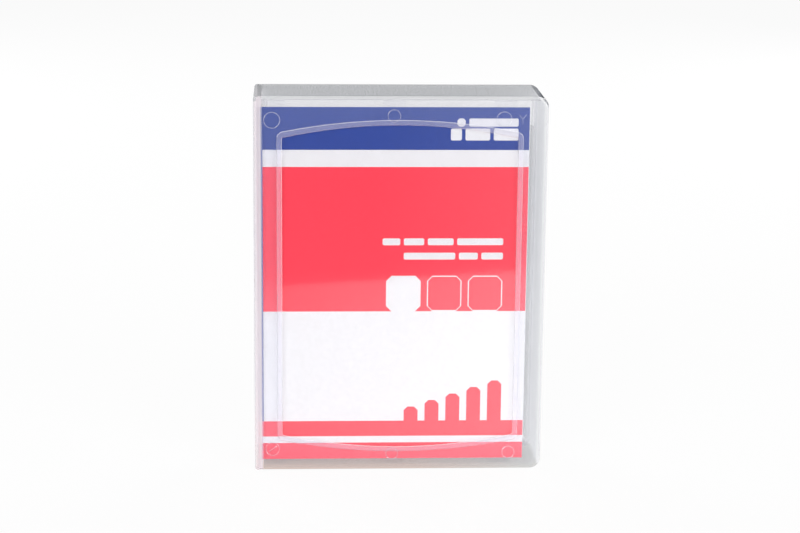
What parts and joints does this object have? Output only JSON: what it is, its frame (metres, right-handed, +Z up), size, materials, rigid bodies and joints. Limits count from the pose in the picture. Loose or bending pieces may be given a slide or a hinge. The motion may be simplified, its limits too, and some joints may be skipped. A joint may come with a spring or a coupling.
{
  "type": "removable disk cartridge in hinged storage case",
  "caption": "Upright see-through storage case with a printed insert, hinged on two folds, that holds a shock-mounted removable disk cartridge.",
  "frame": {"origin": "bottom centre of the closed case, on the surface that it stands on", "axes": "+Z up the case's height, -Y out of the printed front, +X towards the free edge, with the folds at -X"},
  "size_m": [0.107, 0.031, 0.141],
  "materials": {
    "clear_plastic": "frosted clear polypropylene, moulded",
    "card": "white coated card",
    "blue_ink": "blue print on card",
    "red_ink": "red print on card",
    "shell_plastic": "dark moulded plastic, fine texture",
    "grip_plastic": "dark grey moulded plastic",
    "slider_plastic": "pale moulded plastic",
    "steel": "plain steel",
    "bumper_rubber": "soft elastomer",
    "board": "green circuit board",
    "connector_plastic": "black moulded plastic",
    "cast_metal": "cast and machined",
    "lid_metal": "stamped, bright",
    "platter_metal": "polished disk",
    "coil_copper": "enamelled copper wire",
    "magnet_metal": "plated magnet",
    "ramp_plastic": "pale bearing plastic",
    "filter_cloth": "white filter pad"
  },
  "bodies": {
    "tray": {"case_tray": "clear_plastic", "cartridge_rear_shell": "shell_plastic", "cartridge_front_shell": "shell_plastic", "grip_cap": "grip_plastic", "shell_screws": "steel", "shock_bumpers": "bumper_rubber", "adapter_board": "board", "cartridge_connector": "connector_plastic", "drive_receptacle": "connector_plastic", "drive_casting": "cast_metal", "drive_lid": "lid_metal", "lid_screws": "steel", "circuit_board": "board", "board_screws": "steel", "drive_header": "connector_plastic", "spindle_motor": "steel", "pivot_post": "steel", "rear_yoke": "steel", "front_yoke": "steel", "coil_magnets": "magnet_metal", "parking_ramp": "ramp_plastic", "breather_filter": "filter_cloth"},
    "spine": {"case_spine": "clear_plastic", "insert_spine_leaf": "card", "print_blue_spine": "blue_ink", "print_red_spine": "red_ink"},
    "cover": {"case_cover": "clear_plastic", "insert_front_leaf": "card", "print_blue_front": "blue_ink", "print_red_front": "red_ink"},
    "write_protect": {"write_protect_slider": "slider_plastic"},
    "disk_stack": {"spindle_hub": "cast_metal", "platters": "platter_metal", "platter_spacer": "cast_metal", "platter_clamp": "lid_metal", "clamp_screws": "steel"},
    "head_arm": {"actuator_arm": "cast_metal", "voice_coil": "coil_copper", "head_suspensions": "steel"}
  },
  "joints": [
    {"name": "spine_fold", "type": "hinge", "parent": "tray", "child": "spine", "pos_m": [-0.05275, 0.01475, 0.0705], "axis": [0, 0, -1], "range_deg": [0, 90]},
    {"name": "cover_fold", "type": "hinge", "parent": "spine", "child": "cover", "pos_m": [-0.05275, -0.01435, 0.0705], "axis": [0, 0, -1], "range_deg": [0, 90]},
    {"name": "write_protect_slide", "type": "slide", "parent": "tray", "child": "write_protect", "axis": [1, 0, 0], "range_m": [0, 0.0055]},
    {"name": "disk_spin", "type": "hinge", "parent": "tray", "child": "disk_stack", "pos_m": [0.00075, 0.0008, 0.08947], "axis": [0, 1, 0], "continuous": true},
    {"name": "head_swing", "type": "hinge", "parent": "tray", "child": "head_arm", "pos_m": [-0.01125, 0.0008, 0.04905], "axis": [0, -1, 0], "range_deg": [0, 28]}
  ]
}
